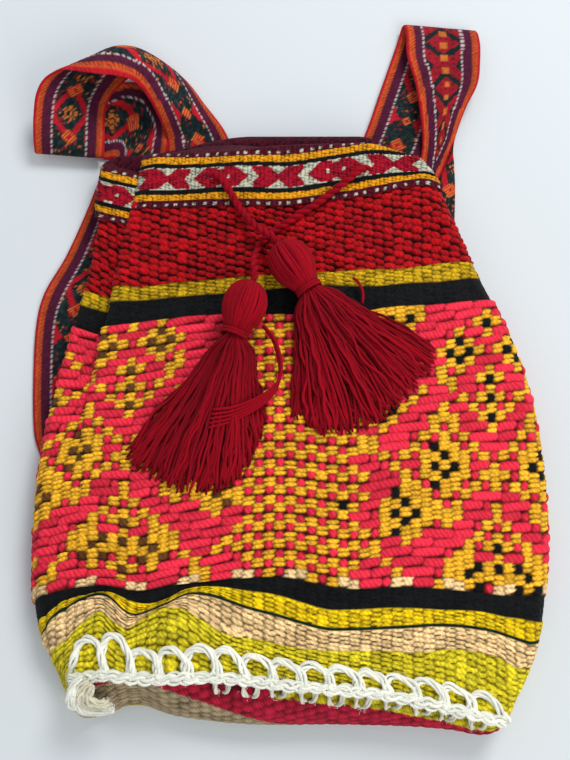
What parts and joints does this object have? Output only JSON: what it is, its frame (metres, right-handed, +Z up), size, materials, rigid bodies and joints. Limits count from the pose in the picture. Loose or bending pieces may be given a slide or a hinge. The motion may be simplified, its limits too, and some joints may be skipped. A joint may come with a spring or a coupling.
{
  "type": "woven backpack",
  "caption": "Flat woven drawstring backpack lying on its back, with banded cloth, a patterned mouth casing, two tassels and two woven shoulder straps.",
  "frame": {"origin": "centre of the back of the bag, on the flat face that it rests on", "axes": "+Y along the bag towards its mouth, +Z up from the back to the front, +X to the right as the front is seen"},
  "size_m": [0.3046, 0.4291, 0.0588],
  "materials": {
    "body_cloth": "coarse wool weave in bands of red, yellow, black, pink and olive",
    "base_cloth": "coarse wool weave",
    "white_yarn": "soft doubled yarn",
    "band_cloth": "finer wool weave with stripes and small figures",
    "crimson_yarn": "soft twisted wool yarn",
    "strap_webbing": "tight warp faced band with a diamond pattern",
    "red_thread": "sewing thread"
  },
  "bodies": {
    "root": {"bag_body": "body_cloth", "base_panel": "base_cloth", "base_seam_stitching": "white_yarn", "mouth_band": "band_cloth", "drawcord_in_casing": "crimson_yarn", "drawcord_left_tail": "crimson_yarn", "drawcord_right_tail": "crimson_yarn", "left_tassel_yarn": "crimson_yarn", "left_tassel_binding": "crimson_yarn", "right_tassel_yarn": "crimson_yarn", "right_tassel_binding": "crimson_yarn", "left_strap": "strap_webbing", "right_strap": "strap_webbing", "left_strap_top_sewing": "red_thread", "left_strap_bottom_sewing": "red_thread", "right_strap_top_sewing": "red_thread", "right_strap_bottom_sewing": "red_thread"}
  },
  "joints": []
}
